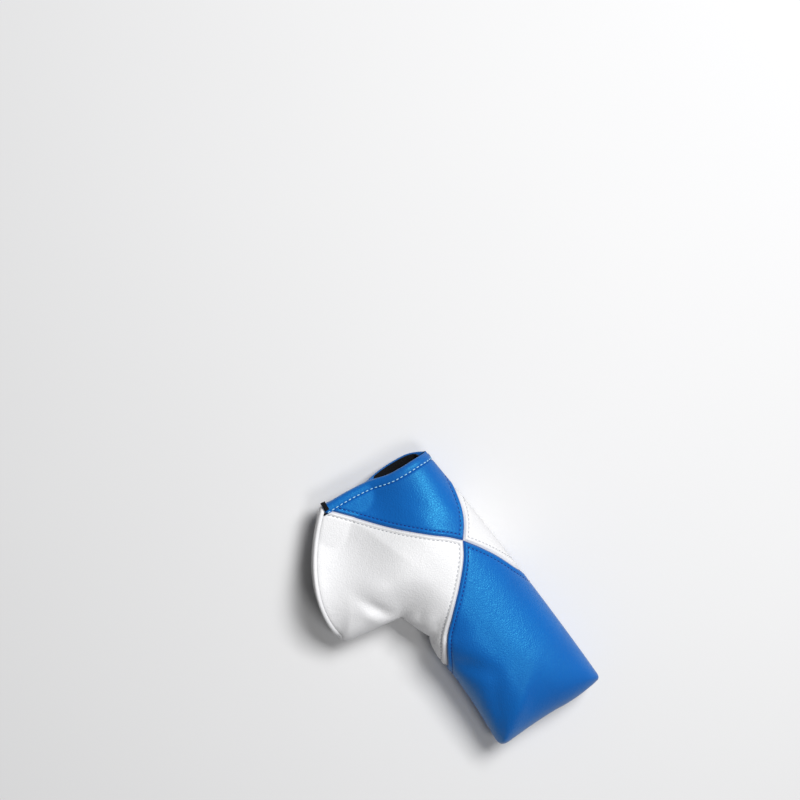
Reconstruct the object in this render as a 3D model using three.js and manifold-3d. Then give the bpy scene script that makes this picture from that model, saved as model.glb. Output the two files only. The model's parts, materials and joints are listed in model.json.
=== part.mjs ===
// Putter head cover for a blade putter: an L-shaped padded leather pouch that lies on its back.
// The long arm is the head pocket and the short arm is the neck that the shaft leaves through.
// Units are millimetres, +X towards the heel mouth, +Y towards the neck's end, +Z out of the front.
import * as THREE from 'three';
import { mergeVertices } from 'three/addons/utils/BufferGeometryUtils.js';
import Module from 'manifold-3d';

const wasm = await Module();
wasm.setup();

// Driving dimensions
const seamHeight = 17;        // height of the perimeter seam above the surface it lies on
const frontRise = 21.5;       // how far the front domes above the seam
const backRise = 19;          // how far the back would dome below the seam before it is flattened
const seamEdge = 1.5;         // thickness of each half where the two are sewn together
const domeWidth = 30;         // distance from the perimeter seam to full height
const leatherThickness = 1.2;
const foamThickness = 2.3;
const liningThickness = 0.9;
const gap = 0.3;              // between pieces that touch
const hemWidth = 5;           // rolled hem round the heel mouth
const bindingWidth = 3;       // bound edge at the neck's end
const lipLead = 1.5;          // how far the back lip stands past the front one at the mouth
const lipHeight = 5.2;        // height of a lip above its sewn edge where the closure holds it
const closureFlat = 8;        // distance from the closure's line over which the lips lie together
const closureReach = 42;      // distance over which the lips then rise to the full dome
const mouthDrop = 0.2;        // share of the dome lost at the heel mouth
const neckDrop = 0.4;         // share of the dome lost at the neck's end
const endReach = 42;          // distance over which those losses fade
const tapeThickness = 1.1;    // hook tape and loop tape
const tapeLength = 20;
const tapeWidth = 11;
const tapeMiddle = [-3, 50];
const gridStep = 8;           // spacing of the facets
const foldClearance = 0.4;    // half of the space left along the fold of the flap

// Depths below the outer face at which each layer starts and ends
const leather = [0, leatherThickness];
const foam = [leather[1] + gap, leather[1] + gap + foamThickness];
const lining = [foam[1] + gap, foam[1] + gap + liningThickness];
const wall = lining[1];
const hemDepth = wall + gap + tapeThickness;

// Outline of the pouch, from the heel corner of the sole round the toe to the neck's end
const heel = [0, 0];
const tip = [11, 62.5];
const neckCorner = [-50.3, 98];
const notch = [-63, 64.3];
const foldStart = [2.9, 14];
const foldEnd = [-46, 98.1];

function sewnPath() {
  const path = new THREE.Path();
  path.moveTo(...heel);
  path.quadraticCurveTo(-80, -3.4, -151.5, -0.6);
  path.quadraticCurveTo(-155, -0.2, -155.4, 4);
  path.quadraticCurveTo(-156.4, 17, -153.6, 28);
  path.quadraticCurveTo(-152.6, 40, -152.9, 56);
  path.quadraticCurveTo(-153, 64.4, -145.5, 64.2);
  path.quadraticCurveTo(-108, 60.6, -79, 60);
  path.lineTo(...notch);
  path.lineTo(-57, 90);
  path.quadraticCurveTo(-55.4, 98, ...neckCorner);
  return path.getPoints(5);
}

const sewn = sewnPath();
const neckEdge = new THREE.QuadraticBezierCurve(
  new THREE.Vector2(...neckCorner), new THREE.Vector2(-18, 100), new THREE.Vector2(...tip)).getPoints(5);
const mouthEdge = new THREE.QuadraticBezierCurve(
  new THREE.Vector2(...tip), new THREE.Vector2(8.5, 34), new THREE.Vector2(...heel)).getPoints(4);

// Seams between the four leather panels of each half, all from one crossing
const crossing = [-47.6, 13.3];
const tipSeam = [[-32.6, 27.2], [-16.7, 42], [8, 61], [40, 85]];
const heelSeam = [[-41.2, 7], [-35, 2.9], [-27.8, 0.1], [-4, -8]];
const soleSeam = [[-57.6, 7.6], [-67.5, 3], [-79.4, -1.1], [-101, -10]];
const toeSeam = [[-55.9, 19.8], [-66.3, 31.4], [-76.7, 44.4], [-85.5, 53.6], [-99.7, 61.7], [-110, 69]];
const far = { left: -190, right: 70, low: -30, high: 130 };
const area = { left: -162, right: 18, low: -8, high: 106 };

const panels = {
  collar: [crossing, ...tipSeam, [far.right, 85], [far.right, far.low], [-4, far.low], ...heelSeam.toReversed()],
  sole: [crossing, ...heelSeam, [-4, far.low], [-101, far.low], ...soleSeam.toReversed()],
  toe: [crossing, ...soleSeam, [-101, far.low], [far.left, far.low], [far.left, far.high],
    [-110, far.high], ...toeSeam.toReversed()],
  neck: [crossing, ...toeSeam, [-110, far.high], [far.right, far.high], [far.right, 85],
    ...tipSeam.toReversed()],
};

// Flat geometry helpers
function toVectors(points) {
  return points.map((p) => (p.isVector2 ? p : new THREE.Vector2(...p)));
}

function distanceToPath(x, y, points) {
  let best = Infinity;
  for (let i = 0; i < points.length - 1; i += 1) {
    const [a, b] = [points[i], points[i + 1]];
    const [ex, ey] = [b.x - a.x, b.y - a.y];
    const t = THREE.MathUtils.clamp(((x - a.x) * ex + (y - a.y) * ey) / (ex * ex + ey * ey), 0, 1);
    best = Math.min(best, Math.hypot(x - a.x - t * ex, y - a.y - t * ey));
  }
  return best;
}

function isInside(x, y, polygon) {
  let inside = false;
  for (let i = 0, j = polygon.length - 1; i < polygon.length; j = i, i += 1) {
    const [a, b] = [polygon[i], polygon[j]];
    if (a.y > y !== b.y > y && x < ((b.x - a.x) * (y - a.y)) / (b.y - a.y) + a.x) inside = !inside;
  }
  return inside;
}

// Moves each edge of a closed polygon inwards by its own amount, dropping edges that vanish
function insetPolygon(points, insets) {
  const sign = THREE.ShapeUtils.area(points) > 0 ? 1 : -1;
  let edges = points.map((a, i) => {
    const direction = points[(i + 1) % points.length].clone().sub(a).normalize();
    const inward = new THREE.Vector2(-direction.y, direction.x).multiplyScalar(sign * insets[i]);
    return { origin: a.clone().add(inward), direction };
  });
  for (;;) {
    const corners = edges.map((edge, i) => {
      const before = edges.at(i - 1);
      const cross = before.direction.cross(edge.direction);
      if (Math.abs(cross) < 1e-3) return edge.origin;
      const reach = edge.origin.clone().sub(before.origin).cross(edge.direction) / cross;
      return before.origin.clone().addScaledVector(before.direction, reach);
    });
    const kept = edges.filter((edge, i) => (
      corners[(i + 1) % corners.length].clone().sub(corners[i]).dot(edge.direction) > 1e-3));
    if (kept.length === edges.length) return corners;
    edges = kept;
  }
}

// Height of a half's face above the perimeter seam, at a depth below its outer face
const sewnLine = [new THREE.Vector2(90, 0), ...sewn, new THREE.Vector2(-41, 150)];
const sewnRegion = [...sewnLine, new THREE.Vector2(90, 150)];
const closureLine = toVectors([[3, 43], [4, 56], [-4, 66]]);
const mouthLine = toVectors([[-1, -6], [12, 70]]);
const neckLine = toVectors([[-60, 110], tip]);

function domeShare(s) {
  if (s <= 0) return 3 * s;
  return s >= 1 ? 1 : Math.sqrt(1 - (1 - s) ** 2);
}

function faceHeight(x, y, depth, rise) {
  const sign = isInside(x, y, sewnRegion) ? 1 : -1;
  const fromSeam = sign * distanceToPath(x, y, sewnLine);
  const share = domeShare((fromSeam - depth) / (domeWidth - depth));
  const fromClosure = (distanceToPath(x, y, closureLine) - closureFlat) / closureReach;
  const open = Math.sin((Math.PI / 2) * THREE.MathUtils.clamp(fromClosure, 0, 1));
  const nearMouth = 1 - THREE.MathUtils.smoothstep(distanceToPath(x, y, mouthLine), 0, endReach);
  const nearNeck = 1 - THREE.MathUtils.smoothstep(distanceToPath(x, y, neckLine), 0, endReach);
  const fullness = (1 - mouthDrop * nearMouth) * (1 - neckDrop * nearNeck);
  return open * fullness * (rise - depth) * share + (1 - open) * (lipHeight - depth) + seamEdge;
}

const front = {
  face: (x, y, depth) => seamHeight + faceHeight(x, y, depth, frontRise),
  base: seamHeight - 25,
  span: [seamHeight + gap / 2, 60],
  lead: 0,
};
const back = {
  face: (x, y, depth) => Math.max(depth, seamHeight - faceHeight(x, y, depth, backRise)),
  base: seamHeight + 25,
  span: [-5, seamHeight - gap / 2],
  lead: lipLead,
};

// Solids
function toManifold(geometry) {
  geometry.deleteAttribute('normal');
  geometry.deleteAttribute('uv');
  const merged = mergeVertices(geometry, 1e-4);
  return new wasm.Manifold(new wasm.Mesh({
    numProp: 3,
    vertProperties: new Float32Array(merged.attributes.position.array),
    triVerts: new Uint32Array(merged.index.array),
  }));
}

function prism(points, [low, high]) {
  const shape = new THREE.Shape(points);
  const geometry = new THREE.ExtrudeGeometry(shape, { depth: high - low, bevelEnabled: false });
  return toManifold(geometry.translate(0, 0, low));
}

// Everything between a half's face at one depth and its flat base
function block(half, depth) {
  const columns = Math.ceil((area.right - area.left) / gridStep);
  const rows = Math.ceil((area.high - area.low) / gridStep);
  const geometry = new THREE.BoxGeometry(columns * gridStep, rows * gridStep, 2, columns, rows, 1);
  geometry.translate((columns * gridStep) / 2 + area.left, (rows * gridStep) / 2 + area.low, 0);
  const position = geometry.attributes.position;
  const faceIsTop = half.base < seamHeight;
  for (let i = 0; i < position.count; i += 1) {
    const isFace = position.getZ(i) > 0 === faceIsTop;
    const z = isFace ? half.face(position.getX(i), position.getY(i), depth) : half.base;
    position.setZ(i, z);
  }
  return toManifold(geometry);
}

// The flat shape of a half with each kind of edge moved inwards by its own amount
function halfOutline(half, seamInset, mouthInset, neckInset) {
  const points = [...sewn, ...neckEdge.slice(1), ...mouthEdge.slice(1, -1)];
  const insets = points.map((_, i) => {
    if (i < sewn.length - 1) return seamInset;
    if (i < sewn.length + neckEdge.length - 2) return neckInset;
    return mouthInset - half.lead;
  });
  return prism(insetPolygon(points, insets), half.span);
}

// A layer of a half between two depths, stopping short of the hem and the binding
function layer(half, [outer, inner]) {
  const outline = halfOutline(half, outer, hemWidth + gap, bindingWidth + gap);
  return block(half, outer).intersect(outline).subtract(block(half, inner));
}

function hem(half) {
  const whole = halfOutline(half, 0, 0, 0);
  const beyond = halfOutline(half, -gap, hemWidth, -gap);
  return block(half, 0).intersect(whole).subtract(beyond).subtract(block(half, hemDepth));
}

function binding(half) {
  const whole = halfOutline(half, 0, hemWidth + gap, 0);
  const beyond = halfOutline(half, -gap, hemWidth, bindingWidth);
  return block(half, 0).intersect(whole).subtract(beyond).subtract(block(half, wall));
}

function panel(half, name) {
  const outline = toVectors(panels[name]);
  const cut = prism(insetPolygon(outline, outline.map(() => gap / 2)), half.span);
  return layer(half, leather).intersect(cut);
}

// A patch of tape on the inner face of a half, beside the mouth where the lips close
function tape(half) {
  const along = new THREE.Vector2(...tip).sub(new THREE.Vector2(...heel)).normalize();
  const inward = new THREE.Vector2(-along.y, along.x);
  const middle = new THREE.Vector2(...tapeMiddle);
  const corner = (u, v) => middle.clone().addScaledVector(along, (u * tapeLength) / 2)
    .addScaledVector(inward, (v * tapeWidth) / 2);
  const patch = prism([corner(-1, -1), corner(1, -1), corner(1, 1), corner(-1, 1)], half.span);
  return block(half, wall + gap).intersect(patch).subtract(block(half, hemDepth));
}

// The part of a front piece on one side of the fold
function besideFold(solid, side) {
  const start = new THREE.Vector2(...foldStart);
  const along = new THREE.Vector2(...foldEnd).sub(start).normalize();
  const towardsTip = new THREE.Vector2(along.y, -along.x);
  const corner = (u, v) => start.clone().addScaledVector(along, u)
    .addScaledVector(towardsTip, side * (v + foldClearance));
  const reach = 250;
  const points = [corner(-reach, 0), corner(reach, 0), corner(reach, reach), corner(-reach, reach)];
  return solid.intersect(prism(points, front.span));
}

const onPouch = (solid) => besideFold(solid, -1);
const onFlap = (solid) => besideFold(solid, 1);

// Finishes
const finishes = {
  blueLeather: { color: 0x1662b6, roughness: 0.45 },
  whiteLeather: { color: 0xeeeef0, roughness: 0.5 },
  foam: { color: 0x4a4a4e, roughness: 0.95 },
  plush: { color: 0x0c0c0e, roughness: 1 },
  tape: { color: 0x101012, roughness: 0.9 },
};

const cover = new THREE.Group();

function addPiece(name, solid, finish) {
  const { vertProperties, triVerts } = solid.getMesh();
  const geometry = new THREE.BufferGeometry();
  geometry.setAttribute('position', new THREE.BufferAttribute(vertProperties, 3));
  geometry.setIndex(new THREE.BufferAttribute(triVerts, 1));
  const material = new THREE.MeshStandardMaterial({ ...finishes[finish], metalness: 0 });
  const mesh = new THREE.Mesh(geometry, material);
  mesh.name = name;
  cover.add(mesh);
}

// Leather panels of the front, with the two that cross the fold in two pieces each
addPiece('front_toe_panel', panel(front, 'toe'), 'blueLeather');
addPiece('front_sole_panel', panel(front, 'sole'), 'whiteLeather');
addPiece('front_collar_panel', onPouch(panel(front, 'collar')), 'blueLeather');
addPiece('front_neck_panel', onPouch(panel(front, 'neck')), 'whiteLeather');
addPiece('flap_collar_panel', onFlap(panel(front, 'collar')), 'blueLeather');
addPiece('flap_neck_panel', onFlap(panel(front, 'neck')), 'whiteLeather');

// Leather panels of the back
addPiece('back_toe_panel', panel(back, 'toe'), 'blueLeather');
addPiece('back_sole_panel', panel(back, 'sole'), 'whiteLeather');
addPiece('back_collar_panel', panel(back, 'collar'), 'blueLeather');
addPiece('back_neck_panel', panel(back, 'neck'), 'whiteLeather');

// Padding and lining
addPiece('front_foam', onPouch(layer(front, foam)), 'foam');
addPiece('flap_foam', onFlap(layer(front, foam)), 'foam');
addPiece('back_foam', layer(back, foam), 'foam');
addPiece('front_lining', onPouch(layer(front, lining)), 'plush');
addPiece('flap_lining', onFlap(layer(front, lining)), 'plush');
addPiece('back_lining', layer(back, lining), 'plush');

// Hem round the heel mouth and bound edge at the neck's end
addPiece('front_mouth_hem', onPouch(hem(front)), 'blueLeather');
addPiece('flap_mouth_hem', onFlap(hem(front)), 'blueLeather');
addPiece('back_mouth_hem', hem(back), 'blueLeather');
addPiece('front_neck_binding', onPouch(binding(front)), 'whiteLeather');
addPiece('flap_neck_binding', onFlap(binding(front)), 'whiteLeather');
addPiece('back_neck_binding', binding(back), 'whiteLeather');

// Closure: hook tape inside the flap, loop tape on the back lip
addPiece('hook_tape', onFlap(tape(front)), 'tape');
addPiece('loop_tape', tape(back), 'tape');

// The origin is the middle of the footprint, on the surface the cover lies on
const box = new THREE.Box3().setFromObject(cover);
const centre = box.getCenter(new THREE.Vector3());
cover.position.set(-centre.x, -centre.y, -box.min.z);

export default cover;
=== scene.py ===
import json
import math

import bmesh
import bpy
import numpy as np
from mathutils import Matrix, Vector
from mathutils.geometry import delaunay_2d_cdt


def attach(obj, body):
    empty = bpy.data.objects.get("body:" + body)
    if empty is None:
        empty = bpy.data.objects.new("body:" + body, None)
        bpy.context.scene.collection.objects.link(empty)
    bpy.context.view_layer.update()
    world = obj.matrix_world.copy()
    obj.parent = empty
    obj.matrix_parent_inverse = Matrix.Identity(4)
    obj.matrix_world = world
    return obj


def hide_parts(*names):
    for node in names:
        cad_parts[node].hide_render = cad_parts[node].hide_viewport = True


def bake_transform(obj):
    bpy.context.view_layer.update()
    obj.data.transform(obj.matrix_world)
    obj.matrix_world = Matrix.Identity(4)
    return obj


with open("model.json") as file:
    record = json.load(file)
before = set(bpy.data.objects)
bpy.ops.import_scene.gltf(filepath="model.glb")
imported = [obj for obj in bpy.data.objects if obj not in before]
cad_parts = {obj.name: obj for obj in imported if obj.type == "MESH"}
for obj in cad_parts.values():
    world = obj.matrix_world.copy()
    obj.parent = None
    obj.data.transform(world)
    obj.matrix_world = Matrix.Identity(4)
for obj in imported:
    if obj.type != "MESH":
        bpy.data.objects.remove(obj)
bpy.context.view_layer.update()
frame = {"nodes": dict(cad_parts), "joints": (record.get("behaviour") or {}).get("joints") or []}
print("frame loaded:", len(frame["nodes"]), "CAD nodes")

# Pattern coordinates are millimetres from the heel corner of the sole, with +X away from the toe,
# +Y towards the neck's end and +Z out of the front. The fold's joint says where they lie in the frame.
fold = {"start": (2.9, 14.0), "end": (-46.0, 98.1), "bendReach": 11.0}
foldJoint = frame["joints"][0]["pos_m"]
patternShift = np.array([foldJoint[0] * 1000 - fold["start"][0],
                         foldJoint[1] * 1000 - fold["start"][1], 0.0])

pouch = {
    "seamHeight": 17.0,     # perimeter seam above the floor
    "rise": {1: 23.0, -1: 20.5},   # front, and back before it is flattened
    "domeWidths": (35.0, 37.0, 25.0, 30.0),   # sole side, toe end, upper side, neck's inner side
    "cornerBlend": 3.4,     # how sharply the domes of two sides meet
    "lipHeight": 6.4,
    "closureFlat": 8.0,
    "closureReach": 42.0,
    "mouthDrop": 0.2,
    "neckDrop": 0.4,
    "endReach": 42.0,
    "hemWidth": 5.0,
    "bindingWidth": 2.2,
    "leather": 1.2,
    "foam": (1.5, 3.8),
    "lining": (4.1, 5.0),
}


def quadCurve(a, b, c, count):
    t = np.linspace(0, 1, count + 1)[:, None]
    a, b, c = (np.array(p, float) for p in (a, b, c))
    return (1 - t) ** 2 * a + 2 * t * (1 - t) * b + t * t * c


def chain(*curves):
    return np.concatenate([curves[0]] + [c[1:] for c in curves[1:]])


def splineThrough(points, perSpan=8):
    p = np.array(points, float)
    p = np.concatenate([[2 * p[0] - p[1]], p, [2 * p[-1] - p[-2]]])
    t = np.linspace(0, 1, perSpan, endpoint=False)[:, None]
    spans = [0.5 * (2 * p[i] + (p[i + 1] - p[i - 1]) * t
                    + (2 * p[i - 1] - 5 * p[i] + 4 * p[i + 1] - p[i + 2]) * t ** 2
                    + (3 * p[i] - p[i - 1] - 3 * p[i + 1] + p[i + 2]) * t ** 3)
             for i in range(1, len(p) - 2)]
    return np.concatenate(spans + [p[-2:-1]])


def resample(points, spacing):
    steps = np.linalg.norm(np.diff(points, axis=0), axis=1)
    along = np.concatenate([[0], np.cumsum(steps)])
    count = max(2, int(round(along[-1] / spacing)) + 1)
    wanted = np.linspace(0, along[-1], count)
    return np.stack([np.interp(wanted, along, points[:, k]) for k in range(points.shape[1])], axis=1)


def leftOf(points):
    direction = np.gradient(points[:, :2], axis=0)
    direction /= np.linalg.norm(direction, axis=1)[:, None]
    return np.stack([-direction[:, 1], direction[:, 0]], axis=1)


def distanceTo(line, x, y):
    a, b = line[:-1], line[1:]
    edge = b - a
    size = (edge ** 2).sum(axis=1)
    best = np.full(len(x), 1e9)
    for i in range(len(a)):
        t = np.clip(((x - a[i, 0]) * edge[i, 0] + (y - a[i, 1]) * edge[i, 1]) / size[i], 0, 1)
        best = np.minimum(best, np.hypot(x - a[i, 0] - t * edge[i, 0], y - a[i, 1] - t * edge[i, 1]))
    return best


def nearestOn(line, points):
    fine = resample(line, 0.1)
    nearest = [np.argmin(((fine - point) ** 2).sum(axis=1)) for point in points]
    return fine[nearest]


def insideOf(polygon, x, y):
    inside = np.zeros(len(x), bool)
    for a, b in zip(polygon, np.roll(polygon, 1, axis=0)):
        crosses = (a[1] > y) != (b[1] > y)
        height = b[1] - a[1] if b[1] != a[1] else 1e-12
        inside ^= crosses & (x < (b[0] - a[0]) * (y - a[1]) / height + a[0])
    return inside


def smoothStep(t):
    t = np.clip(t, 0, 1)
    return t * t * (3 - 2 * t)


# Outline, from the heel corner round the toe to the neck's end
heel, tip, notch, neckCorner = (0, 0), (11, 62.5), (-63, 64.3), (-50.3, 98)
sides = [
    chain(quadCurve(heel, (-80, -3.6), (-153.4, -1.0), 24),
          quadCurve((-153.4, -1.0), (-156.2, -0.9), (-156.4, 1.8), 6)),
    chain(quadCurve((-156.4, 1.8), (-157.4, 17), (-155.0, 28), 9),
          quadCurve((-155.0, 28), (-153.2, 42), (-152.8, 58.5), 9),
          quadCurve((-152.8, 58.5), (-152.9, 64.9), (-147.8, 64.6), 6)),
    chain(quadCurve((-147.8, 64.6), (-113, 60.2), (-97, 61.9), 10),
          quadCurve((-97, 61.9), (-87, 62.6), (-80.5, 58.9), 6),
          quadCurve((-80.5, 58.9), (-71, 62.8), notch, 6)),
    chain(quadCurve(notch, (-60.4, 76), (-57, 90), 6), quadCurve((-57, 90), (-55.4, 98), neckCorner, 6)),
]
sewn = chain(*sides)
neckEdge = quadCurve(neckCorner, (-18, 100), tip, 24)
mouthEdges = {   # the back lip stands past the front one along the open part of the mouth
    1: splineThrough([tip, (9.6, 50), (8.3, 42), (6.4, 33.5), (3.6, 24.5), (2.3, 16), (1.4, 8), heel]),
    -1: splineThrough([tip, (9.3, 55), (7.2, 47), (6.0, 39.5), (6.2, 32), (6.1, 24.5), (5.2, 16), (3.7, 8),
                       heel]),
}
outlines = {half: np.concatenate([sewn, neckEdge[1:], edge[1:-1]]) for half, edge in mouthEdges.items()}

# Seams between the four panels of each half, all from one crossing
crossing = (-47.6, 13.3)
seams = {
    "tip": splineThrough([crossing, (-40.4, 19.3), (-32.6, 27.2), (-16.7, 42), (8, 61), (18, 69)]),
    "heel": splineThrough([crossing, (-41.2, 7), (-35, 2.9), (-27.8, 0.1), (-18, -2.8)]),
    "sole": splineThrough([crossing, (-57.6, 7.6), (-67.5, 3), (-79.4, -1.1), (-90, -4.6)]),
    "toe": splineThrough([crossing, (-55.9, 19.8), (-66.3, 31.4), (-76.7, 44.4), (-85.5, 53.6), (-99.7, 62),
                          (-108, 66)]),
}


def panelPolygon(first, last, corners):
    return np.concatenate([seams[first], np.array(corners, float), seams[last][::-1]])


panelShapes = {
    "collar": panelPolygon("tip", "heel", [(70, 69), (70, -30), (-18, -30)]),
    "sole": panelPolygon("heel", "sole", [(-18, -30), (-90, -30)]),
    "toe": panelPolygon("sole", "toe", [(-90, -30), (-190, -30), (-190, 130), (-108, 130)]),
    "neck": panelPolygon("toe", "tip", [(-108, 130), (70, 130), (70, 69)]),
}

closureLine = np.array([(3, 43), (4, 56), (-4, 66)], float)
mouthLine = np.array([(-1, -6), (12, 70)], float)
neckLine = np.array([(-60, 110), tip], float)

# Soft dents and folds pressed into the padded faces: place, reach along and across, turn, height
hollows = {
    1: [((-104, 51), 11, 5.5, 40, -2.0), ((-137, 44), 17, 4.5, 125, 1.5),
        ((-124, 49), 16, 5, 150, -1.3), ((-112, 24), 18, 6, 12, 0.5),
        ((-51, 71), 11, 3.4, 23, -2.2), ((-54, 76.5), 7, 3.4, 20, 1.1), ((-38, 66), 9, 5, 40, 0.9),
        ((-77.5, 53.5), 8, 2.3, 112, -2.2), ((-85.5, 55), 7, 3.4, 105, 1.2), ((-68, 57.5), 6, 2.2, 130, -0.9),
        ((-72.5, 55), 6, 2.6, 118, 0.7), ((-30, 16), 12, 5, 35, -0.6), ((-20, 26), 12, 5, 40, 0.5),
        ((-52, 88), 8, 3.4, 95, 0.8)],
    -1: [((-100, 48), 12, 5, 50, 1.0), ((-60, 56), 8, 3.5, 100, -1.6), ((-76, 54), 7, 3, 110, -1.2)],
}


def domeShare(t):
    t = np.clip(t, 0, 1)
    return np.sqrt(1 - (1 - t) ** 2)


def openness(x, y):
    fromClosure = (distanceTo(closureLine, x, y) - pouch["closureFlat"]) / pouch["closureReach"]
    return np.sin(math.pi / 2 * np.clip(fromClosure, 0, 1))


def faceHeight(x, y, half):
    power = pouch["cornerBlend"]
    total = 1 - len(sides)
    for side, width in zip(sides, pouch["domeWidths"]):
        total = total + np.maximum(domeShare(distanceTo(side, x, y) / width), 1e-4) ** -power
    share = total ** (-1 / power)
    nearMouth = 1 - smoothStep(distanceTo(mouthLine, x, y) / pouch["endReach"])
    nearNeck = 1 - smoothStep(distanceTo(neckLine, x, y) / pouch["endReach"])
    fullness = (1 - pouch["mouthDrop"] * nearMouth) * (1 - pouch["neckDrop"] * nearNeck)
    opened = openness(x, y)
    height = opened * fullness * pouch["rise"][half] * share + (1 - opened) * pouch["lipHeight"]
    edgeFade = np.clip(share * 1.4, 0, 1)
    for (cx, cy), along, across, turn, amount in hollows[half]:
        c, s = math.cos(math.radians(turn)), math.sin(math.radians(turn))
        u = ((x - cx) * c + (y - cy) * s) / along
        v = ((cy - y) * -c + (cx - x) * s) / across
        height = height + amount * edgeFade * np.exp(-u * u - v * v)
    return height


def faceZ(x, y, half):
    z = pouch["seamHeight"] + half * faceHeight(x, y, half)
    if half > 0:
        return z
    softness = 1.5
    rounding = np.maximum(softness - np.abs(z), 0) / softness
    return np.maximum(z, 0) + rounding ** 2 * softness / 4


def facePoints(x, y, half):
    return np.stack([x, y, faceZ(x, y, half)], axis=1)


def faceNormals(x, y, half, step=0.1):
    dx = (faceZ(x + step, y, half) - faceZ(x - step, y, half)) / (2 * step)
    dy = (faceZ(x, y + step, half) - faceZ(x, y - step, half)) / (2 * step)
    normal = half * np.stack([-dx, -dy, np.ones_like(dx)], axis=1)
    return normal / np.linalg.norm(normal, axis=1)[:, None]


def seamDistance(x, y):
    return np.min([distanceTo(line, x, y) for line in seams.values()], axis=0)


# How the leather lies beside its seams, as heights along the face's normal
relief = {"valley": 0.95, "valleyWidth": 0.6, "bead": 0.34, "beadAt": 1.3, "beadWidth": 0.6,
          "groove": 0.32, "stitchAt": 2.5, "grooveWidth": 0.42, "perimeter": 0.7, "perimeterWidth": 0.9,
          "hemStep": 0.5, "bindingStep": 0.35, "stepWidth": 0.5, "shadeWidth": 0.55}


def leatherRelief(x, y, z, half):
    away = seamDistance(x, y)
    fromPerimeter = np.abs(z - pouch["seamHeight"])
    fade = smoothStep(fromPerimeter / 5)
    height = -relief["valley"] * (0.35 + 0.65 * fade) * np.exp(-(away / relief["valleyWidth"]) ** 2)
    height += fade * relief["bead"] * np.exp(-((away - relief["beadAt"]) / relief["beadWidth"]) ** 2)
    height -= fade * relief["groove"] * np.exp(-((away - relief["stitchAt"]) / relief["grooveWidth"]) ** 2)
    sewnHere = distanceTo(sewn, x, y) < 3
    height -= sewnHere * relief["perimeter"] * np.exp(-(fromPerimeter / relief["perimeterWidth"]) ** 2)
    fromMouth = distanceTo(mouthEdges[half], x, y) - pouch["hemWidth"]
    height -= relief["hemStep"] * np.exp(-(fromMouth / relief["stepWidth"]) ** 2)
    fromNeck = distanceTo(neckEdge, x, y) - pouch["bindingWidth"]
    height -= relief["bindingStep"] * np.exp(-(fromNeck / relief["stepWidth"]) ** 2)
    return height


# Flat triangulation of a half, fine beside the seams and the perimeter
fineGrid = {"spacing": 1.25, "step": 1.1, "turn": 4.5, "seamStep": 0.7, "seamReach": 5.2,
            "seamOffsets": (0.3, 0.6, 0.95, 1.3, 1.7, 2.05, 2.4, 2.75, 3.2, 3.9, 4.8),
            "bandOffsets": (-0.9, -0.45, 0.45, 0.9, 1.5)}
coarseGrid = {"spacing": 2.6, "step": 2.2, "turn": 11.0}


def inwardOf(line, half):
    side = leftOf(line)
    middle = (line + side)[len(line) // 2]
    return side if insideOf(outlines[half], middle[:1], middle[1:])[0] else -side


def inset(line, amounts, half, extend=6):
    longer = np.concatenate([[line[0] + (line[0] - line[1]) * extend], line,
                             [line[-1] + (line[-1] - line[-2]) * extend]])
    return longer + inwardOf(longer, half) * (np.zeros(len(longer)) + amounts)[:, None]


liningStop = {"open": 0.5, "closed": 4.8, "neck": 1.2}   # from the lips; closed and neck come on top


def closedShare(x, y):
    return smoothStep((0.2 - openness(x, y)) / 0.16)


def liningReach(x, y):
    return liningStop["open"] + liningStop["closed"] * closedShare(x, y)


def keepApart(fixed, groups):
    cells = {}
    for px, py in fixed:
        cells.setdefault((math.floor(px), math.floor(py)), []).append((px, py))
    kept = []
    for points, nearest in groups:
        for px, py in points.tolist():
            ci, cj = math.floor(px), math.floor(py)
            close = any(abs(qx - px) < nearest and abs(qy - py) < nearest
                        for i in (-1, 0, 1) for j in (-1, 0, 1)
                        for qx, qy in cells.get((ci + i, cj + j), ()))
            if not close:
                cells.setdefault((ci, cj), []).append((px, py))
                kept.append((px, py))
    return kept


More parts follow.
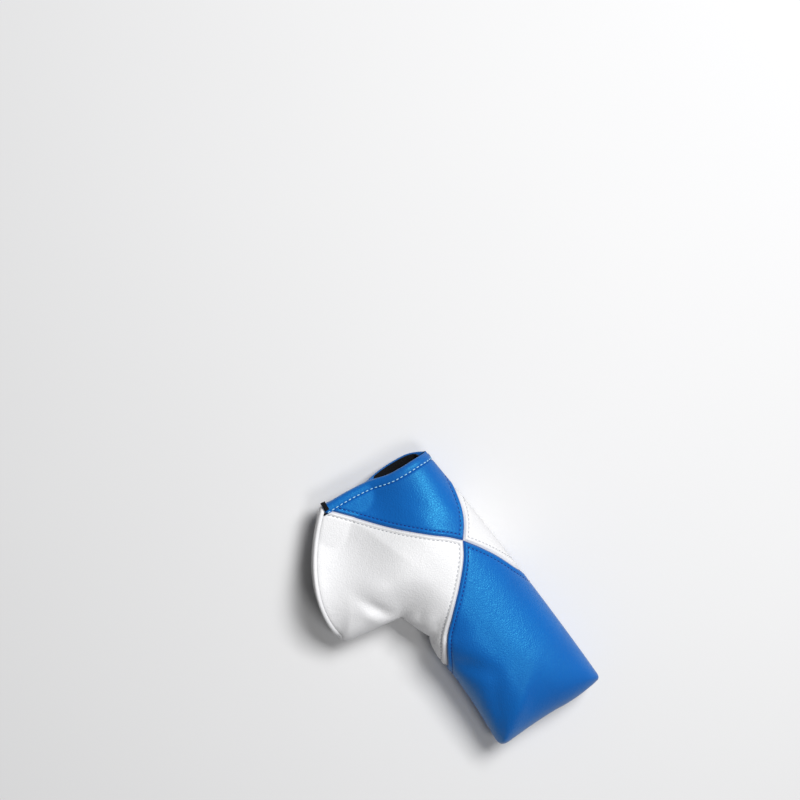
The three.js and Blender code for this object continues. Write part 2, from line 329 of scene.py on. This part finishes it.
def flatMesh(half, grid):
    outline, mouthEdge = outlines[half], mouthEdges[half]
    spacing, step, fine = grid["spacing"], grid["step"], grid is fineGrid
    path = resample(sewn, step)
    loop = np.concatenate([path, resample(neckEdge, step)[1:], resample(mouthEdge, step)[1:-1]])
    points = [tuple(p) for p in loop]
    edges = [(i, (i + 1) % len(loop)) for i in range(len(loop))]
    edgeLines = [inset(mouthEdge, pouch["hemWidth"], half), inset(neckEdge, pouch["bindingWidth"], half)]
    if not fine:
        for edge in (mouthEdge, neckEdge):
            longer = inset(edge, 0, half)
            extra = liningStop["neck"] if edge is neckEdge else 0
            edgeLines.append(inset(edge, liningReach(*longer.T) + extra, half))
    edgeLines = [resample(line, step) for line in edgeLines]
    seamLines = [resample(line, grid["seamStep"]) for line in seams.values()] if fine else []
    for line in edgeLines + seamLines:
        first = len(points)
        points += [tuple(p) for p in line]
        edges += [(first + i, first + i + 1) for i in range(len(line) - 1)]
    groups = []
    inward = inwardOf(path, half)
    turn = math.radians(grid["turn"])
    reaches = [pouch["domeWidths"][0] * (1 - math.cos(k * turn)) for k in range(1, 20)]
    for reach in [r for r in reaches if r < spacing * 3.4]:
        ring = path + inward * reach
        good = insideOf(outline, *ring.T) & (distanceTo(sewn, *ring.T) > reach * 0.93)
        groups.append((ring[good], min(0.45, reach * 0.5)))
    if fine:
        for base in seamLines:
            for away in grid["seamOffsets"]:
                for offset in (base + leftOf(base) * away, base - leftOf(base) * away):
                    good = insideOf(outline, *offset.T) & (seamDistance(*offset.T) > away * 0.9)
                    groups.append((offset[good], 0.2))
        for line in edgeLines:
            for away in grid["bandOffsets"]:
                offset = line + leftOf(line) * away
                groups.append((offset[insideOf(outline, *offset.T)], 0.25))
    rows = np.arange(-6, 102, spacing * 0.866)
    columns = np.arange(-160, 16, spacing)
    x = np.concatenate([columns + (k % 2) * spacing / 2 for k in range(len(rows))])
    y = np.repeat(rows, len(columns))
    good = insideOf(outline, x, y) & (distanceTo(sewn, x, y) > spacing * 3)
    if fine:
        good &= seamDistance(x, y) > grid["seamReach"]
    groups.append((np.stack([x[good], y[good]], axis=1), spacing * 0.45))
    points += keepApart(points, groups)
    found = delaunay_2d_cdt([Vector(p) for p in points], edges, [list(range(len(loop)))], 1, 1e-4, False)
    flat = np.array([tuple(v) for v in found[0]])
    triangles = np.array([f for f in found[2] if len(f) == 3])
    a, b, c = (flat[triangles[:, i]] for i in range(3))
    turned = np.cross(b - a, c - a) < 0
    triangles[turned] = triangles[turned][:, ::-1]
    return flat, triangles[insideOf(loop, *flat[triangles].mean(axis=1).T)]


def regionOf(flat, triangles, half):
    middle = flat[triangles].mean(axis=1)
    hemBand = distanceTo(mouthEdges[half], *middle.T) < pouch["hemWidth"] - 0.01
    bindingBand = ~hemBand & (distanceTo(neckEdge, *middle.T) < pouch["bindingWidth"] - 0.01)
    names = np.full(len(triangles), "", dtype=object)
    for name, polygon in panelShapes.items():
        names[insideOf(polygon, *middle.T) & ~hemBand & ~bindingBand] = name
    return names


def vertexNormals(points, triangles):
    a, b, c = (points[triangles[:, i]] for i in range(3))
    face = np.cross(b - a, c - a)
    normal = np.zeros_like(points)
    for i in range(3):
        np.add.at(normal, triangles[:, i], face)
    return normal / np.maximum(np.linalg.norm(normal, axis=1), 1e-12)[:, None]


# Meshes
def toObject(name, points, faces):
    mesh = bpy.data.meshes.new(name)
    mesh.from_pydata(((points + patternShift) / 1000).tolist(), [], [list(map(int, f)) for f in faces])
    mesh.validate()
    mesh.update()
    mesh.shade_smooth()
    piece = bpy.data.objects.new(name, mesh)
    bpy.context.scene.collection.objects.link(piece)
    return piece


def shell(name, outer, inner, triangles, half):
    # A closed skin: the outer face, the inner face turned over, and a wall round every border
    used, compact = np.unique(triangles, return_inverse=True)
    local = compact.reshape(triangles.shape)
    if half < 0:
        local = local[:, ::-1]
    count = len(used)
    points = np.concatenate([outer[used], inner[used]])
    edges = np.concatenate([local[:, [0, 1]], local[:, [1, 2]], local[:, [2, 0]]])
    seen = {(a, b) for a, b in edges.tolist()}
    walls = [(b, a, a + count, b + count) for a, b in edges.tolist() if (b, a) not in seen]
    faces = local.tolist() + (local[:, ::-1] + count).tolist() + walls
    return toObject(name, points, faces)


pieces = {}


def finished(piece, material, nodes, crossesFold=False):
    piece.data.materials.clear()
    piece.data.materials.append(material)
    if nodes:
        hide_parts(*nodes)
    if crossesFold:
        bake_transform(piece)
    else:
        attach(piece, "pouch")
    pieces[piece.name] = piece
    return piece


# Node trees: a Wire is one output, and sums on Wires add Math nodes
class Wire:
    def __init__(self, tree, socket):
        self.tree, self.socket = tree, socket

    def __add__(self, other):
        return self.tree.number("ADD", self, other)

    def __radd__(self, other):
        return self.tree.number("ADD", other, self)

    def __sub__(self, other):
        return self.tree.number("SUBTRACT", self, other)

    def __rsub__(self, other):
        return self.tree.number("SUBTRACT", other, self)

    def __mul__(self, other):
        return self.tree.number("MULTIPLY", self, other)

    def __rmul__(self, other):
        return self.tree.number("MULTIPLY", other, self)


class Tree:
    def __init__(self, nodeTree):
        self.nodes, self.links = nodeTree.nodes, nodeTree.links

    def node(self, kind, settings=None, sockets=None, out=0):
        made = self.nodes.new(kind)
        for name, value in (settings or {}).items():
            setattr(made, name, value)
        for key, value in (sockets or {}).items():
            if isinstance(value, Wire):
                self.links.new(value.socket, made.inputs[key])
            else:
                made.inputs[key].default_value = value
        return Wire(self, made.outputs[out]) if made.outputs else made

    def number(self, operation, first, second):
        return self.node("ShaderNodeMath", {"operation": operation}, {0: first, 1: second})

    def vector(self, operation, first, second):
        return self.node("ShaderNodeVectorMath", {"operation": operation}, {0: first, 1: second})

    def scaled(self, first, amount):
        return self.node("ShaderNodeVectorMath", {"operation": "SCALE"}, {0: first, "Scale": amount})


class ShaderTree(Tree):
    def __init__(self, name, **constants):
        self.material = bpy.data.materials.new(name)
        self.material.use_nodes = True
        super().__init__(self.material.node_tree)
        self.shader = self.nodes["Principled BSDF"]
        for socket, value in constants.items():
            self.shader.inputs[socket.replace("_", " ")].default_value = value

    def colour(self, factor, low, high):
        return self.node("ShaderNodeMix", {"data_type": "RGBA"}, {0: factor, 6: low, 7: high}, out=2)

    def spread(self, value, low, high):
        return self.node("ShaderNodeMapRange", {"interpolation_type": "SMOOTHSTEP"},
                         {0: value, 1: low, 2: high, 3: 0.0, 4: 1.0})

    def noise(self, place, scale, detail=2.0, rough=0.5):
        return self.node("ShaderNodeTexNoise", None,
                         {"Vector": place, "Scale": scale, "Detail": detail, "Roughness": rough})

    def bump(self, height, strength, distance):
        return self.node("ShaderNodeBump", None,
                         {"Strength": strength, "Distance": distance, "Height": height})

    def feed(self, **sockets):
        for name, wire in sockets.items():
            self.links.new(wire.socket, self.shader.inputs[name.replace("_", " ")])
        return self.material


leatherLook = {"pebble": 1500.0, "crease": 980.0, "pore": 3600.0, "stretch": (1.0, 0.8, 1.0), "turn": 0.5,
               "strength": 0.9, "depth": 0.0002, "warp": 0.0006}


def leather(name, tone, shadeTone, sheenTone, roughness):
    tree = ShaderTree(name, Specular_IOR_Level=0.6, Specular_Tint=sheenTone)
    place = tree.node("ShaderNodeTexCoord", out="Object")
    laid = tree.node("ShaderNodeMapping", None, {"Vector": place, "Scale": leatherLook["stretch"],
                                                 "Rotation": (0, 0, leatherLook["turn"])})
    wander = tree.node("ShaderNodeTexNoise", None,
                       {"Vector": laid, "Scale": 420.0, "Detail": 1.0}, out="Color")
    warped = tree.vector("ADD", laid, tree.scaled(wander, leatherLook["warp"]))
    pebbles = tree.node("ShaderNodeTexVoronoi", {"feature": "SMOOTH_F1"},
                        {"Vector": warped, "Scale": leatherLook["pebble"], "Smoothness": 0.7})
    cracks = tree.node("ShaderNodeTexVoronoi", {"feature": "DISTANCE_TO_EDGE"},
                       {"Vector": warped, "Scale": leatherLook["crease"]})
    crack = 1.0 - tree.spread(cracks, 0.0, 0.16)
    pores = tree.noise(laid, leatherLook["pore"], 2.0)
    cloud = tree.noise(laid, 22.0, 3.0)
    fold = tree.noise(laid, 230.0, 4.0, 0.6)
    height = (1.0 - pebbles) * 0.55 - crack * 0.14 + pores * 0.14 + fold * 0.9
    # Painted shade: the colour darkens along the seams (seamShade) and in the grain's creases; the cloud adds
    # an uneven tone of the leather's own
    valley = tree.node("ShaderNodeAttribute", {"attribute_name": "seamShade"}, out="Fac")
    mottleAndPaintedShade = tree.spread(cloud, 0.35, 0.75) * 0.22 + crack * 0.10 + valley * 0.7
    base = tree.colour(mottleAndPaintedShade, tone, shadeTone)
    rough = roughness + tree.spread(cloud, 0.3, 0.7) * 0.07 - pebbles * 0.05 + crack * 0.08
    return tree.feed(Base_Color=base, Roughness=rough,
                     Normal=tree.bump(height, leatherLook["strength"], leatherLook["depth"]))


def plush(name, tone, tipTone):
    tree = ShaderTree(name, Sheen_Weight=0.06, Sheen_Roughness=0.4, Specular_IOR_Level=0.2)
    place = tree.node("ShaderNodeTexCoord", out="Object")
    pile = tree.node("ShaderNodeTexVoronoi", {"feature": "F1"}, {"Vector": place, "Scale": 1500.0})
    nap = tree.noise(place, 90.0, 3.0)
    base = tree.colour(pile * 0.6 + nap * 0.4, tone, tipTone)
    return tree.feed(Base_Color=base, Roughness=0.86 + nap * 0.12,
                     Normal=tree.bump(pile + nap * 0.8, 0.8, 0.0005))


def openFoam(name, tone, poreTone):
    tree = ShaderTree(name)
    place = tree.node("ShaderNodeTexCoord", out="Object")
    cells = tree.node("ShaderNodeTexVoronoi", {"feature": "F1"}, {"Vector": place, "Scale": 1100.0})
    base = tree.colour(tree.spread(cells, 0.2, 0.6), poreTone, tone)
    return tree.feed(Base_Color=base, Roughness=0.88 + cells * 0.1, Normal=tree.bump(cells, 0.7, 0.0006))


def tapeCloth(name, tone, highTone):
    tree = ShaderTree(name, Specular_IOR_Level=0.2)
    place = tree.node("ShaderNodeTexCoord", out="Object")
    weave = tree.node("ShaderNodeTexVoronoi", {"feature": "F1"},
                      {"Vector": place, "Scale": 1300.0, "Randomness": 0.25})
    base = tree.colour(tree.spread(weave, 0.1, 0.6), highTone, tone)
    return tree.feed(Base_Color=base, Roughness=0.8 + weave * 0.15,
                     Normal=tree.bump(1.0 - weave, 0.8, 0.0005))


def thread(name, tone, highTone):
    tree = ShaderTree(name, Specular_IOR_Level=0.25)
    place = tree.node("ShaderNodeTexCoord", out="Object")
    fibres = tree.noise(place, 5200.0, 2.0)
    twist = tree.noise(place, 1900.0, 1.0)
    base = tree.colour(tree.spread(fibres, 0.3, 0.7), tone, highTone)
    return tree.feed(Base_Color=base, Roughness=0.55 + fibres * 0.25,
                     Normal=tree.bump(fibres * 0.5 + twist, 0.6, 0.00015))


materials = {
    "blue_leather": leather("blueLeather", (0.007, 0.120, 0.45, 1), (0.014, 0.052, 0.26, 1),
                            (0.12, 0.8, 0.9, 1), 0.36),
    "white_leather": leather("whiteLeather", (0.80, 0.80, 0.81, 1), (0.56, 0.56, 0.59, 1),
                             (1, 1, 1, 1), 0.46),
    "plush": plush("blackPlush", (0.0015, 0.0015, 0.002, 1), (0.007, 0.007, 0.008, 1)),
    "foam": openFoam("greyFoam", (0.09, 0.09, 0.10, 1), (0.02, 0.02, 0.022, 1)),
    "tape": tapeCloth("blackTape", (0.003, 0.003, 0.0035, 1), (0.014, 0.014, 0.016, 1)),
    "navy_thread": thread("navyThread", (0.003, 0.008, 0.10, 1), (0.008, 0.02, 0.19, 1)),
    "pale_thread": thread("greyThread", (0.30, 0.31, 0.34, 1), (0.48, 0.49, 0.52, 1)),
    "skyThread": thread("skyThread", (0.16, 0.52, 0.76, 1), (0.55, 0.82, 0.95, 1)),
}
print("materials made:", len(materials))


# Leather panels, foam and lining of both halves
def addPanels(half, halfName):
    flat, triangles = flatMesh(half, fineGrid)
    x, y = flat.T
    base = facePoints(x, y, half)
    shown = triangles if half > 0 else triangles[:, ::-1]
    normal = vertexNormals(base, shown)
    outer = base + normal * leatherRelief(x, y, base[:, 2], half)[:, None]
    outer[:, 2] = np.maximum(outer[:, 2], 0)
    inner = base - normal * pouch["leather"]
    names = regionOf(flat, triangles, half)
    for name in panelShapes:
        blue = name in ("collar", "toe")
        crosses = half > 0 and name in ("collar", "neck")
        nodes = [f"{halfName}_{name}_panel"] + ([f"flap_{name}_panel"] if crosses else [])
        chosen = triangles[names == name]
        piece = shell(f"{halfName}_{name}_leather", outer, inner, chosen, half)
        used = np.unique(chosen)
        # Painted shade: closeness to a seam, kept as seamShade so that the leather's colour darkens along its
        # seams
        shade = np.exp(-(seamDistance(*flat[used].T) / relief["shadeWidth"]) ** 2)
        attribute = piece.data.attributes.new("seamShade", "FLOAT", "POINT")
        attribute.data.foreach_set("value", np.concatenate([shade, shade]).astype(np.float32))
        slotName = "blue_leather" if blue else "white_leather"
        finished(piece, materials[slotName], nodes, crosses)


# Beside the lips the layers lie straight under the leather, so that they don't stand past the rolled edges
layerFade = {"fromLips": 14.0, "leastSlope": 0.1, "besideSeam": 8.0}


def addLayer(half, halfName, name, depths, slotName):
    flat, triangles = coarseMeshes[half]
    base = facePoints(*flat.T, half)
    normal = vertexNormals(base, triangles if half > 0 else triangles[:, ::-1])
    fromLips = np.minimum(distanceTo(mouthEdges[half], *flat.T), distanceTo(neckEdge, *flat.T))
    besideSeam = 1 - smoothStep(distanceTo(sewn, *flat.T) / layerFade["besideSeam"])
    least = layerFade["leastSlope"]
    slope = least + (1 - least) * smoothStep(fromLips / layerFade["fromLips"])
    normal[:, :2] *= np.maximum(slope, besideSeam)[:, None]
    kept = regionOf(flat, triangles, half) != ""
    if name == "lining":
        middle = flat[triangles].mean(axis=1).T
        reach = liningReach(*middle)
        kept = ((distanceTo(mouthEdges[half], *middle) > reach)
                & (distanceTo(neckEdge, *middle) > reach + liningStop["neck"]))
    piece = shell(f"{halfName}_{name}Layer", base - normal * depths[0], base - normal * depths[1],
                  triangles[kept], half)
    nodes = [f"{halfName}_{name}"] + ([f"flap_{name}"] if half > 0 else [])
    finished(piece, materials[slotName], nodes, half > 0)


# Rolled edges, swept along the mouth and the neck's end
rolls = {
    "hem": {"edges": mouthEdges, "thickness": 3.9, "closedThickness": 6.1, "roundedTip": True,
            "endSteps": (1.5,),
            "section": [(5.1, -0.55), (4.9, -0.35), (4.4, 0.02), (3.7, 0.3), (2.8, 0.4), (1.9, 0.28),
                        (1.1, -0.05), (0.5, -0.55), (0.12, -1.25), (0.0, -2.1), (0.15, -2.9), (0.7, -3.6),
                        (1.7, -4.1), (3.2, -4.35), (5.1, -4.4)]},
    "binding": {"edges": {1: neckEdge[::-1], -1: neckEdge[::-1]}, "thickness": 3.9, "closedThickness": 6.1,
                "roundedTip": True, "endSteps": (1.0, 2.0, 3.0),
                "section": [(2.3, -0.45), (2.1, -0.3), (1.7, -0.08), (1.2, 0.0), (0.7, -0.1), (0.3, -0.45),
                            (0.05, -1.2), (0.0, -2.1), (0.15, -3.0), (0.7, -3.8), (1.4, -4.2), (2.3, -4.4)]},
    # The hook tape's end, folded over the lip at its tip
    "tapeEnd": {"edges": {1: resample(mouthEdges[1], 0.8)[1:5]}, "thickness": 3.9, "closedThickness": 6.1,
                "roundedTip": False,
                "section": [(0.3, -4.5), (-0.9, -4.3), (-1.3, -3.3), (-1.3, -1.5), (-0.8, -0.1), (0.4, 0.85),
                            (1.8, 1.15), (2.9, 1.1), (3.1, 0.8), (2.9, 0.5), (1.8, 0.5), (0.6, 0.1),
                            (-0.2, -0.8), (-0.5, -1.5), (-0.5, -3.3), (-0.1, -3.9), (0.3, -4.0)]},
}


rollShape = {"step": 0.9, "endRings": 8, "nearSeam": 0.2, "leastReach": 0.4, "clearance": 0.12,
             "sectionDepth": 4.4, "innerSlope": 0.35, "tipLength": 2.4, "tipLeast": 0.25}
rollCentre = np.array([-30.0, 40.0])   # where the ends that pass the side seam are drawn towards


def addRoll(half, halfName, name, roll, slotName, nodes):
    edge = resample(roll["edges"][half], rollShape["step"])
    if roll["roundedTip"]:
        edge = np.concatenate([edge, edge[-1] + np.outer(roll["endSteps"], edge[-1] - edge[-2])])
    inward = inwardOf(edge, half)
    thickness = roll["thickness"] + closedShare(*edge.T) * (roll["closedThickness"] - roll["thickness"])
    rings = []
    for r, w in roll["section"]:
        place, near = edge + inward * r, edge + inward * max(r, rollShape["leastReach"])
        beyond = (distanceTo(sewn, *near.T) < rollShape["nearSeam"]) | ~insideOf(outlines[half], *near.T)
        beyond[:-rollShape["endRings"]] = False
        if beyond.any():
            place[beyond] = nearestOn(sewn, place[beyond])
            pull = rollCentre - place[beyond]
            near[beyond] = place[beyond] + pull / np.linalg.norm(pull, axis=1)[:, None] * 0.5
        base = facePoints(*near.T, half)
        base[beyond, 2] = pouch["seamHeight"]
        base[:, :2] = place
        normal = faceNormals(*near.T, half)
        room = half * (base[:, 2] - pouch["seamHeight"]) - rollShape["clearance"]
        onTop = w > -1
        depth = np.full(len(edge), w) if onTop else w * thickness / rollShape["sectionDepth"]
        depth = np.maximum(depth, -np.maximum(room, 0.05))
        slope = 1 if onTop else rollShape["innerSlope"]
        rings.append(base + normal * np.array([slope, slope, 1]) * depth[:, None])
    rings = np.array(rings)
    around, along = rings.shape[:2]
    if roll["roundedTip"]:
        fromTip = np.arange(along) * rollShape["step"]
        rounding = np.maximum(domeShare(fromTip / rollShape["tipLength"]), rollShape["tipLeast"])[:, None]
        centre = rings.mean(axis=0)
        rings = centre + (rings - centre) * rounding
    index = np.arange(around * along).reshape(around, along)
    faces = [(index[i, j], index[(i + 1) % around, j], index[(i + 1) % around, j + 1], index[i, j + 1])
             for i in range(around) for j in range(along - 1)]
    faces += [tuple(index[:, 0]), tuple(index[::-1, -1])]
    piece = toObject(f"{halfName}_{name}", rings.reshape(-1, 3), faces)
    outwards(piece)
    finished(piece, materials[slotName], nodes, half > 0)


def outwards(piece):
    work = bmesh.new()
    work.from_mesh(piece.data)
    bmesh.ops.recalc_face_normals(work, faces=work.faces)
    work.to_mesh(piece.data)
    work.free()


# Hook and loop tape inside the lips, where they close
tapePatch = {"middle": (-3.0, 50.0), "length": 20.0, "width": 11.0, "depths": (5.1, 6.1)}


def addTape(half, name, crosses):
    along = np.array(tip, float) / np.linalg.norm(tip)
    across = np.array([-along[1], along[0]])
    u, v = np.meshgrid(np.linspace(-0.5, 0.5, 21), np.linspace(-0.5, 0.5, 12), indexing="ij")
    flat = (np.array(tapePatch["middle"]) + u.reshape(-1, 1) * along * tapePatch["length"]
            + v.reshape(-1, 1) * across * tapePatch["width"])
    index = np.arange(len(flat)).reshape(u.shape)
    quads = np.stack([index[:-1, :-1], index[1:, :-1], index[1:, 1:], index[:-1, 1:]], axis=-1).reshape(-1, 4)
    triangles = np.concatenate([quads[:, [0, 1, 2]], quads[:, [0, 2, 3]]])
    a, b, c = (flat[triangles[:, i]] for i in range(3))
    turned = np.cross(b - a, c - a) < 0
    triangles[turned] = triangles[turned][:, ::-1]
    base = facePoints(*flat.T, half)
    normal = faceNormals(*flat.T, half)
    piece = shell(name, base - normal * tapePatch["depths"][0], base - normal * tapePatch["depths"][1],
                  triangles, half)
    finished(piece, materials["tape"], [name.replace("Patch", "")], crosses)


# Stitches: one tree lays a short thread at every step of its lines
sewing = {"pitch": 2.3, "hemPitch": 2.5, "length": 1.65, "radius": 0.30, "slant": 0.10, "seed": 11,
          "sink": -0.02, "hemReach": 4.35, "hemLift": 0.16}
sewingInputs = {"Line": "NodeSocketGeometry", "Pitch": "NodeSocketFloat", "Length": "NodeSocketFloat",
                "Radius": "NodeSocketFloat", "Slant": "NodeSocketFloat", "Seed": "NodeSocketInt",
                "Thread": "NodeSocketMaterial"}


def makeSewingTree():
    group = bpy.data.node_groups.new("sewing", "GeometryNodeTree")
    for name, kind in sewingInputs.items():
        group.interface.new_socket(name=name, in_out="INPUT", socket_type=kind)
    group.interface.new_socket(name="Stitches", in_out="OUTPUT", socket_type="NodeSocketGeometry")
    tree = Tree(group)
    entry = tree.nodes.new("NodeGroupInput")
    given = {name: Wire(tree, entry.outputs[name]) for name in sewingInputs}
    curve = tree.node("GeometryNodeMeshToCurve", None, {"Mesh": given["Line"]})
    steps = tree.node("GeometryNodeResampleCurve", {"mode": "LENGTH"},
                      {"Curve": curve, "Length": given["Pitch"]})
    along = tree.node("FunctionNodeAlignRotationToVector", {"axis": "X"},
                      {"Vector": tree.node("GeometryNodeInputTangent")})
    normal = tree.node("GeometryNodeInputNamedAttribute", {"data_type": "FLOAT_VECTOR"},
                       {"Name": "surfaceNormal"})
    upright = tree.node("FunctionNodeAlignRotationToVector", {"axis": "Z", "pivot_axis": "X"},
                        {"Rotation": along, "Vector": normal})
    swing = tree.node("FunctionNodeRandomValue", {"data_type": "FLOAT"},
                      {2: 0.0 - given["Slant"], 3: given["Slant"], "Seed": given["Seed"]}, out=1)
    turn = tree.node("FunctionNodeEulerToRotation", None,
                     {"Euler": tree.node("ShaderNodeCombineXYZ", None, {"Z": swing})})
    laid = tree.node("FunctionNodeRotateRotation", {"rotation_space": "LOCAL"},
                     {"Rotation": upright, "Rotate By": turn})
    ball = tree.node("GeometryNodeMeshUVSphere", None, {"Segments": 8, "Rings": 6, "Radius": 1.0})
    size = tree.node("ShaderNodeCombineXYZ", None,
                     {"X": given["Radius"], "Y": given["Radius"], "Z": given["Length"] * 0.5})
    stitch = tree.node("GeometryNodeTransform", None,
                       {"Geometry": ball, "Rotation": (0, math.pi / 2, 0), "Scale": size})
    placed = tree.node("GeometryNodeInstanceOnPoints", None,
                       {"Points": steps, "Instance": stitch, "Rotation": laid})
    whole = tree.node("GeometryNodeRealizeInstances", None,
                      {"Geometry": tree.node("GeometryNodeSetShadeSmooth", None, {"Geometry": placed})})
    sewnOn = tree.node("GeometryNodeSetMaterial", None, {"Geometry": whole, "Material": given["Thread"]})
    tree.node("NodeGroupOutput", None, {"Stitches": sewnOn})
    return group


def runsOf(line, kept):
    runs, current = [], []
    for point, keep in zip(line, kept):
        if keep:
            current.append(point)
        if (not keep or point is line[-1]) and current:
            runs.append(np.array(current))
            current = []
    return [run for run in runs + ([np.array(current)] if current else []) if len(run) > 5]


def seamRuns(half, blue):
    runs = []
    for seam in seams.values():
        base = resample(seam, 0.7)
        for side in (relief["stitchAt"], -relief["stitchAt"]):
            line = base + leftOf(base) * side
            middle = line[len(line) // 2][:, None]
            panel = [name for name, shape in panelShapes.items() if insideOf(shape, *middle)[0]][0]
            if (panel in ("collar", "toe")) != blue:
                continue
            kept = insideOf(outlines[half], *line.T) & insideOf(panelShapes[panel], *line.T)
            kept &= seamDistance(*line.T) > relief["stitchAt"] * 0.94
            kept &= distanceTo(mouthEdges[half], *line.T) > pouch["hemWidth"] + 0.9
            kept &= distanceTo(neckEdge, *line.T) > pouch["bindingWidth"] + 0.9
            kept &= np.abs(faceZ(*line.T, half) - pouch["seamHeight"]) > 1.5
            runs += runsOf(line, kept)
    return runs


def hemRuns(half):
    line = resample(inset(mouthEdges[half], sewing["hemReach"], half), 0.7)
    kept = insideOf(outlines[half], *line.T) & (np.abs(faceZ(*line.T, half) - pouch["seamHeight"]) > 1.5)
    kept &= distanceTo(neckEdge, *line.T) > pouch["bindingWidth"] + 2.4
    return runsOf(line, kept)


def addStitches(name, half, runs, lift, pitch, material):
    points, normals, edges = [], [], []
    for run in runs:
        base = facePoints(*run.T, half)
        normal = faceNormals(*run.T, half)
        height = lift if lift else leatherRelief(*run.T, base[:, 2], half)[:, None] + sewing["sink"]
        edges += [(len(points) + i, len(points) + i + 1) for i in range(len(run) - 1)]
        points += list(base + normal * height)
        normals += list(normal)
    mesh = bpy.data.meshes.new(name)
    mesh.from_pydata([tuple((point + patternShift) / 1000) for point in points], edges, [])
    mesh.attributes.new("surfaceNormal", "FLOAT_VECTOR", "POINT")
    mesh.attributes["surfaceNormal"].data.foreach_set("vector", np.array(normals, np.float32).ravel())
    piece = bpy.data.objects.new(name, mesh)
    bpy.context.scene.collection.objects.link(piece)
    layer = piece.modifiers.new("sewing", "NODES")
    layer.node_group = sewingTree
    wanted = {"Pitch": pitch / 1000, "Length": sewing["length"] / 1000, "Radius": sewing["radius"] / 1000,
              "Slant": sewing["slant"], "Seed": sewing["seed"], "Thread": material}
    for item in sewingTree.interface.items_tree:
        if item.name in wanted:
            layer[item.identifier] = wanted[item.name]
    ready = piece.evaluated_get(bpy.context.evaluated_depsgraph_get())
    laidMesh = bpy.data.meshes.new_from_object(ready)
    piece.modifiers.clear()
    piece.data = laidMesh
    laidMesh.name = name
    return finished(piece, material, None, half > 0)


sewingTree = makeSewingTree()
coarseMeshes = {half: flatMesh(half, coarseGrid) for half in (1, -1)}
for half, halfName in ((1, "front"), (-1, "back")):
    addPanels(half, halfName)
    addLayer(half, halfName, "foam", pouch["foam"], "foam")
    addLayer(half, halfName, "lining", pouch["lining"], "plush")
    flapToo = half > 0
    addRoll(half, halfName, "hem", rolls["hem"], "blue_leather",
            [f"{halfName}_mouth_hem"] + ["flap_mouth_hem"] * flapToo)
    addRoll(half, halfName, "binding", rolls["binding"], "white_leather",
            [f"{halfName}_neck_binding"] + ["flap_neck_binding"] * flapToo)
    addStitches(f"{halfName}_navyStitches", half, seamRuns(half, True), None, sewing["pitch"],
                materials["navy_thread"])
    addStitches(f"{halfName}_greyStitches", half, seamRuns(half, False), None, sewing["pitch"],
                materials["pale_thread"])
    addStitches(f"{halfName}_hemStitches", half, hemRuns(half), sewing["hemLift"], sewing["hemPitch"],
                materials["skyThread"])
addRoll(1, "hook", "tapeEnd", rolls["tapeEnd"], "tape", None)
addTape(1, "hook_tapePatch", True)
addTape(-1, "loop_tapePatch", False)
print("pouch made:", len(pieces), "pieces")


# Floor, light and camera
view = {"tilt": 11.0, "distance": 1.02, "lens": 85.0,
        "middle": (-72.0, 45.0, 20.0), "aim": (30.4, -5.5, 20.0), "up": (0.796, -0.606, 0.0)}


def toFrame(point):
    return Vector((np.array(point, float) + patternShift) / 1000)


def addFloor():
    bpy.ops.mesh.primitive_plane_add(size=6, location=(0, 0, -0.0001))
    floor = bpy.context.object
    floor.name = "floor"
    tree = ShaderTree("paleFloor", Roughness=0.65)
    place = tree.node("ShaderNodeTexCoord", out="Object")
    cloud = tree.noise(place, 3.0, 2.0)
    base = tree.colour(cloud, (0.71, 0.71, 0.715, 1), (0.74, 0.74, 0.745, 1))
    floor.data.materials.append(tree.feed(Base_Color=base))


def addAreaLight(name, place, size, power):
    light = bpy.data.lights.new(name, "AREA")
    light.size, light.energy = size, power
    lamp = bpy.data.objects.new(name, light)
    bpy.context.scene.collection.objects.link(lamp)
    lamp.location = place
    lamp.rotation_euler = (-Vector(place)).to_track_quat("-Z", "Y").to_euler()


def addCamera():
    camera = bpy.data.objects.new("camera", bpy.data.cameras.new("camera"))
    bpy.context.scene.collection.objects.link(camera)
    tilt = math.radians(view["tilt"])
    towards = Vector((math.sin(tilt), 0, math.cos(tilt)))
    camera.location = toFrame(view["middle"]) + towards * view["distance"]
    forward = (toFrame(view["aim"]) - camera.location).normalized()
    up = Vector(view["up"])
    right = forward.cross(up).normalized()
    upright = right.cross(forward)
    camera.rotation_euler = Matrix((right, upright, -forward)).transposed().to_euler()
    camera.data.lens = view["lens"]
    bpy.context.scene.camera = camera


addFloor()
addAreaLight("key", (0.29, -0.92, 1.50), 0.70, 32.6)
addAreaLight("overhead", (-0.24, -0.06, 0.96), 0.26, 2.1)
world = bpy.data.worlds.new("studio")
world.use_nodes = True
world.node_tree.nodes["Background"].inputs["Color"].default_value = (1, 1, 1, 1)
world.node_tree.nodes["Background"].inputs["Strength"].default_value = 0.09
bpy.context.scene.world = world
bpy.context.scene.view_settings.view_transform = "Standard"
addCamera()

print("finished:", len(pieces), "pieces")
